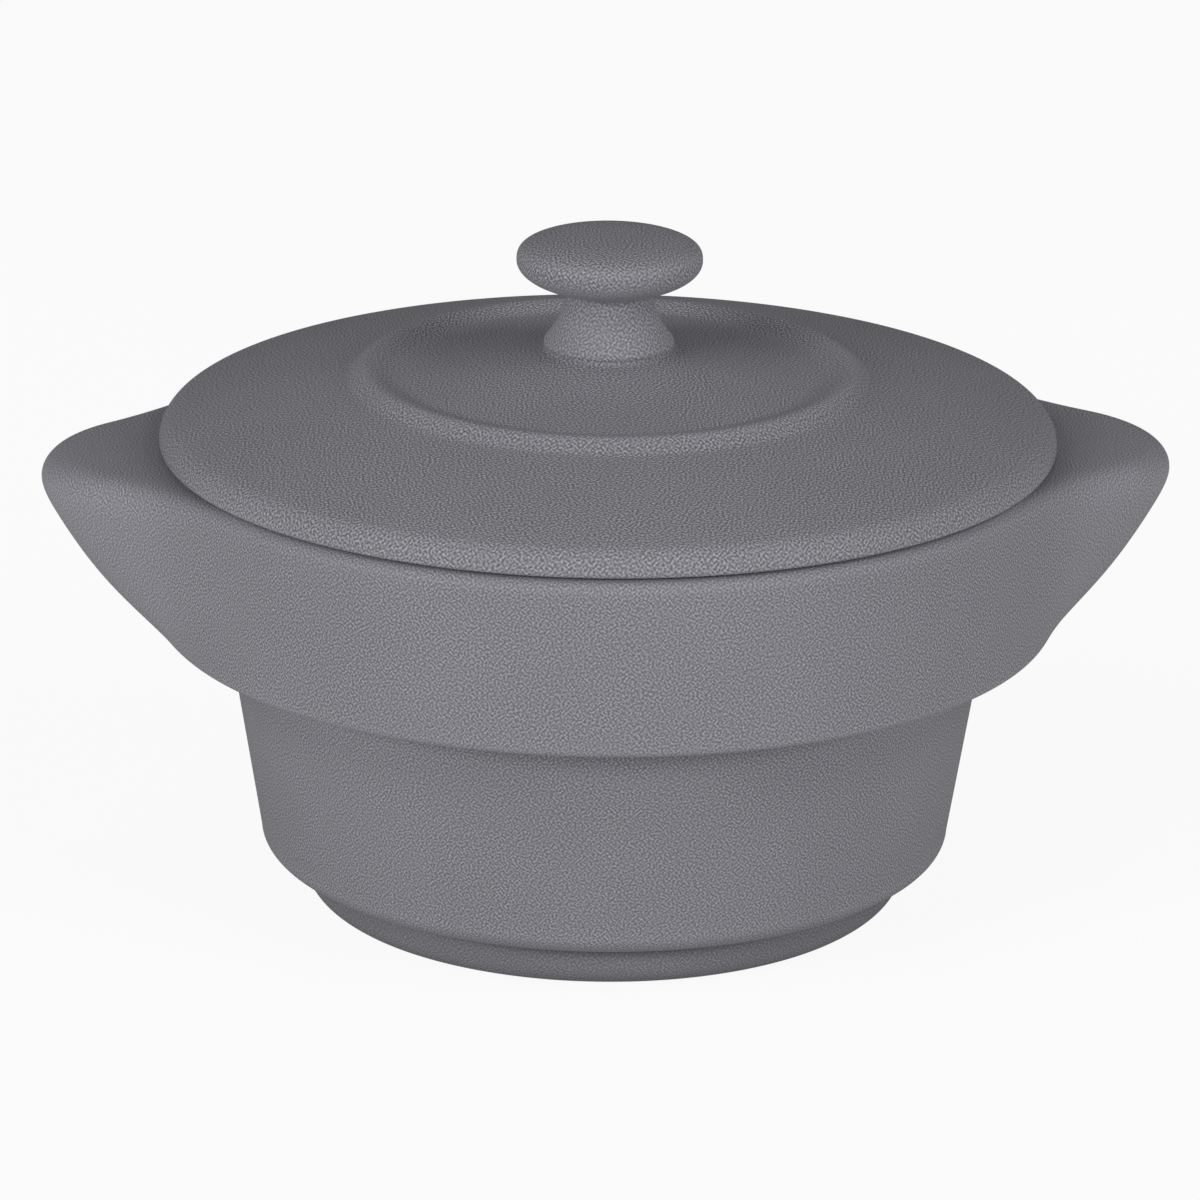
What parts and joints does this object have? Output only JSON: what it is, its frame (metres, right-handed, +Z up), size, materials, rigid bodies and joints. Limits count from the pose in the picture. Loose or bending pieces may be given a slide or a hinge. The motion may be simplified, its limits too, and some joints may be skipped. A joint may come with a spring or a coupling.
{
  "type": "covered casserole pot",
  "caption": "Round ceramic casserole pot with a stepped collar, wing-shaped side ears, a foot ring and a lift-off domed lid with a mushroom knob",
  "frame": {"origin": "on the table under the middle of the foot ring", "axes": "+Z up along the axis of pot, lid and knob; +X along the line through the two ears, the longest way across; +Y across it, away from the viewer of the picture"},
  "size_m": [0.1522, 0.1204, 0.0918],
  "materials": {
    "pot_glaze": "matt grey glaze with a fine pebbled grain",
    "lid_glaze": "matt grey glaze with a fine pebbled grain"
  },
  "bodies": {
    "pot": {"pot": "pot_glaze"},
    "lid": {"lid": "lid_glaze"}
  },
  "joints": [
    {"name": "lid_lift", "type": "slide", "parent": "pot", "child": "lid", "axis": [0, 0, 1], "range_m": [0, 0.1]}
  ]
}
